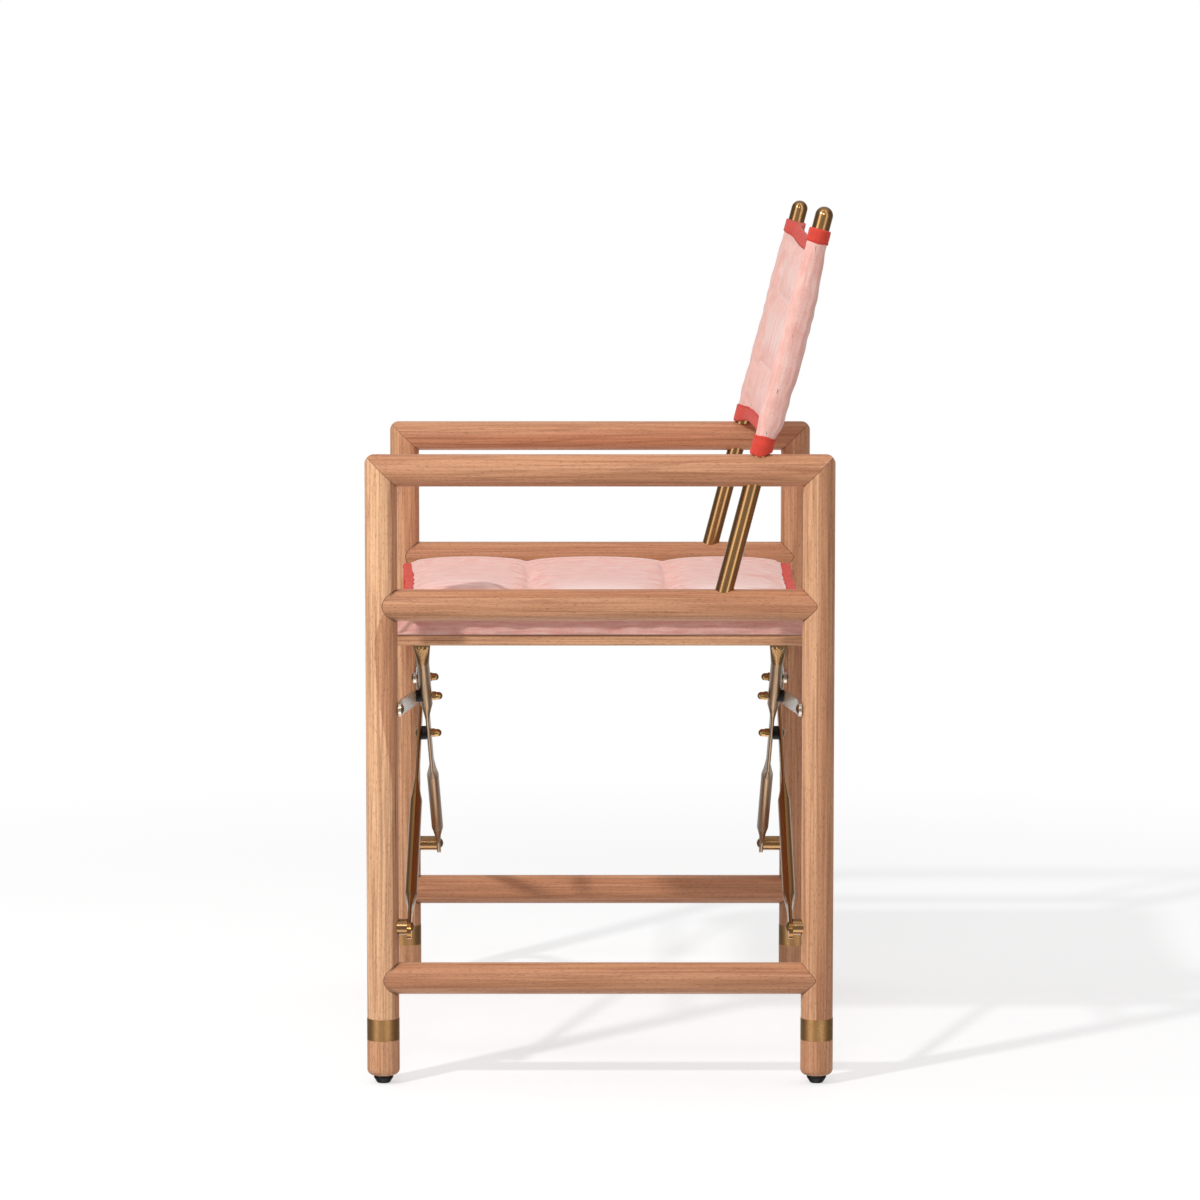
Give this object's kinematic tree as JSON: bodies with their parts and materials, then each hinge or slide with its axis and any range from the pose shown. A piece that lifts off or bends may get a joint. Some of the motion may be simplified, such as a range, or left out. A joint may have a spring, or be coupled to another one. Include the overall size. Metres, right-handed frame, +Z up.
{
  "type": "directors chair",
  "caption": "Folding directors chair: round wooden side frames, crossed bronze tube scissors, padded quilted seat and back with contrasting bound edges.",
  "frame": {"origin": "on the floor under the middle of the chair", "axes": "+Z up, -Y to the front, +X to the sitter's left"},
  "size_m": [0.5726, 0.4666, 0.875],
  "materials": {
    "teak": "oiled",
    "beech": "raw",
    "brass": "satin",
    "bronze": "satin",
    "fasteners": "satin",
    "black_nylon": "matte",
    "cloth": "woven",
    "binding": "ribbed tape"
  },
  "bodies": {
    "left_frame": {"left_front_leg": "teak", "left_rear_leg": "teak", "left_arm_rail": "teak", "left_seat_rail": "teak", "left_stretcher": "teak", "left_dowels": "beech", "left_collars": "brass", "left_foot_tips": "teak", "left_foot_glides": "black_nylon", "left_back_post": "brass", "left_post_tip": "brass", "left_pivot_stubs": "bronze", "left_pivot_screws": "fasteners", "left_link_screws": "fasteners"},
    "right_frame": {"right_front_leg": "teak", "right_rear_leg": "teak", "right_arm_rail": "teak", "right_seat_rail": "teak", "right_stretcher": "teak", "right_dowels": "beech", "right_collars": "brass", "right_foot_tips": "teak", "right_foot_glides": "black_nylon", "right_back_post": "brass", "right_post_tip": "brass", "right_pivot_stubs": "bronze", "right_pivot_screws": "fasteners", "right_link_screws": "fasteners"},
    "outer_scissor": {"outer_front_bar": "bronze", "outer_rear_bar": "bronze", "right_batten": "teak", "right_batten_screws": "fasteners", "right_batten_pocket": "cloth", "centre_bolts": "fasteners", "centre_spacers": "black_nylon", "centre_nuts": "fasteners", "right_link_nuts": "fasteners"},
    "inner_scissor": {"inner_front_bar": "bronze", "inner_rear_bar": "bronze", "left_batten": "teak", "left_batten_screws": "fasteners", "left_batten_pocket": "cloth", "left_link_nuts": "fasteners", "left_link_washers": "black_nylon"},
    "left_link_set": {"left_links": "bronze", "left_link_bolts": "fasteners"},
    "right_link_set": {"right_links": "bronze", "right_link_bolts": "fasteners"},
    "seat_left_half": {"seat_pad_left": "cloth", "seat_binding_left": "binding"},
    "seat_right_half": {"seat_pad_right": "cloth", "seat_binding_right": "binding"},
    "back_left_half": {"back_panel_left": "cloth", "back_binding_left": "binding"},
    "back_right_half": {"back_panel_right": "cloth", "back_binding_right": "binding"}
  },
  "joints": [
    {"name": "fold", "type": "hinge", "parent": "left_frame", "child": "outer_scissor", "pos_m": [0.27, 0, 0.158], "axis": [0, 1, 0], "range_deg": [0, 44.35]},
    {"name": "scissor_cross", "type": "hinge", "parent": "outer_scissor", "child": "inner_scissor", "pos_m": [0, 0, 0.318], "axis": [0, 1, 0], "range_deg": [-88.7, 0]},
    {"name": "right_foot_pivot", "type": "hinge", "parent": "inner_scissor", "child": "right_frame", "pos_m": [-0.27, 0, 0.158], "axis": [0, 1, 0], "range_deg": [0, 44.35]},
    {"name": "left_link_pivot", "type": "hinge", "parent": "left_frame", "child": "left_link_set", "pos_m": [0.27, 0, 0.37722], "axis": [0, 1, 0], "range_deg": [0, 75.47]},
    {"name": "right_link_pivot", "type": "hinge", "parent": "right_frame", "child": "right_link_set", "pos_m": [-0.27, 0, 0.37722], "axis": [0, 1, 0], "range_deg": [-75.47, 0]},
    {"name": "seat_left_edge", "type": "hinge", "parent": "inner_scissor", "child": "seat_left_half", "pos_m": [0.184, 0, 0.48296], "axis": [0, 1, 0], "range_deg": [-35.72, 0], "deforming": ["seat_pad_left", "seat_binding_left"]},
    {"name": "seat_middle", "type": "hinge", "parent": "seat_left_half", "child": "seat_right_half", "pos_m": [0, 0, 0.46726], "axis": [0, 1, 0], "range_deg": [0, 160.14], "deforming": ["seat_pad_right", "seat_binding_right"]},
    {"name": "back_left_post", "type": "hinge", "parent": "left_frame", "child": "back_left_half", "pos_m": [0.27, 0.1545, 0.615], "axis": [0, 0.2538, 0.9673], "range_deg": [-71.22, 0], "deforming": ["back_panel_left", "back_binding_left"]},
    {"name": "back_middle", "type": "hinge", "parent": "back_left_half", "child": "back_right_half", "pos_m": [0, 0.1603, 0.61348], "axis": [0, 0.2538, 0.9673], "range_deg": [0, 142.45], "deforming": ["back_panel_right", "back_binding_right"]}
  ],
  "couplings": [
    {"joint": "scissor_cross", "follows": "fold", "ratio": -2},
    {"joint": "right_foot_pivot", "follows": "fold", "ratio": 1},
    {"joint": "left_link_pivot", "follows": "fold", "ratio": 1.7017},
    {"joint": "right_link_pivot", "follows": "fold", "ratio": -1.7017},
    {"joint": "seat_left_edge", "follows": "fold", "ratio": -0.80546},
    {"joint": "seat_middle", "follows": "fold", "ratio": 3.6109},
    {"joint": "back_left_post", "follows": "fold", "ratio": -1.6059},
    {"joint": "back_middle", "follows": "fold", "ratio": 3.2119}
  ]
}
